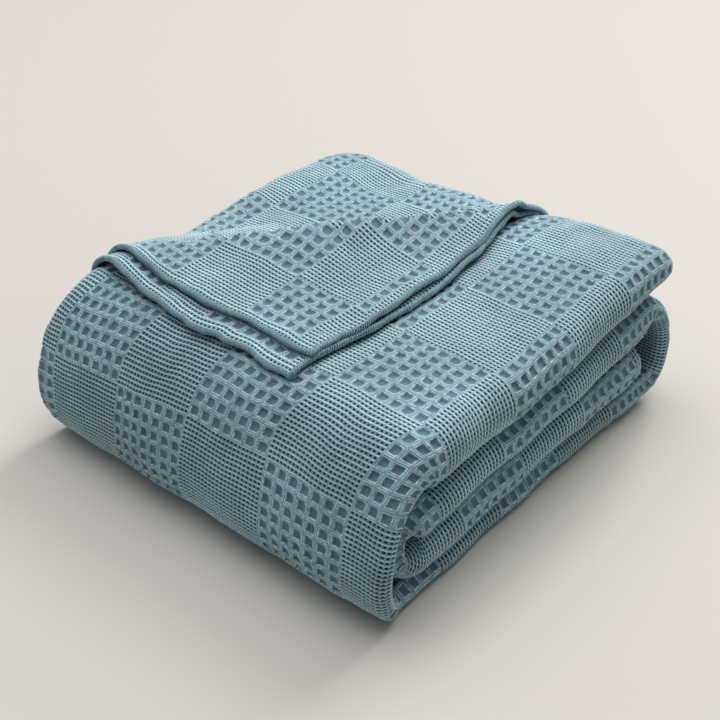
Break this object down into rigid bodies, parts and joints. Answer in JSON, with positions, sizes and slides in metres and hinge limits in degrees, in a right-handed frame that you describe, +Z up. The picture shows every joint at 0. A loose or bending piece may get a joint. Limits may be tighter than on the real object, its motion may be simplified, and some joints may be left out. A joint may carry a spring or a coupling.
{
  "type": "folded waffle weave blanket",
  "caption": "Cotton blanket in checked waffle weave, folded lengthways, rolled to a square stack, with a two-ply corner turned over its top.",
  "frame": {"origin": "on the floor plane, under the middle of the stack's bounding box", "axes": "+X along the big front roll towards the folded ends, +Y from that roll to the back of the stack, +Z up"},
  "size_m": [0.4086, 0.4433, 0.1797],
  "materials": {
    "cloth": "matt teal cotton, raised waffle weave"
  },
  "bodies": {
    "root": {"blanket": "cloth"}
  },
  "joints": []
}
